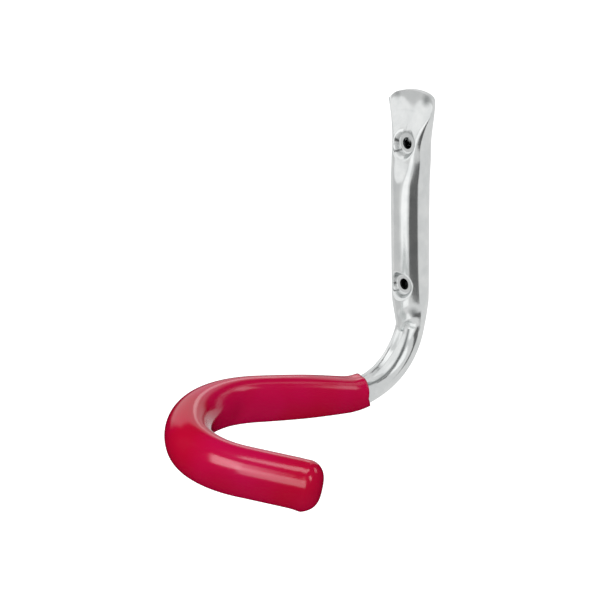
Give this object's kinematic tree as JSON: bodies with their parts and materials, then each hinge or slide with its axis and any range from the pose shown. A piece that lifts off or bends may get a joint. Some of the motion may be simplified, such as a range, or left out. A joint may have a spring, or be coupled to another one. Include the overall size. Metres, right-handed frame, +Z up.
{
  "type": "bicycle storage hook",
  "caption": "Bent steel tube wall hook with a flattened, screw-fixed shank and a soft sleeve over its curled arm, for hanging a bicycle by its frame or wheel.",
  "frame": {"origin": "on the wall plane, midway between the two screw holes", "axes": "+X to the right along the wall, +Y into the wall, +Z up; the hook reaches away from the wall towards -Y"},
  "size_m": [0.1006, 0.172, 0.152],
  "materials": {
    "zinc_steel": "bright zinc plate, lightly mottled, with press marks at the screw seats and the first bend",
    "red_sleeve": "glossy soft dipped PVC, faintly uneven"
  },
  "bodies": {
    "root": {"hook_tube": "zinc_steel", "grip_sleeve": "red_sleeve"}
  },
  "joints": []
}
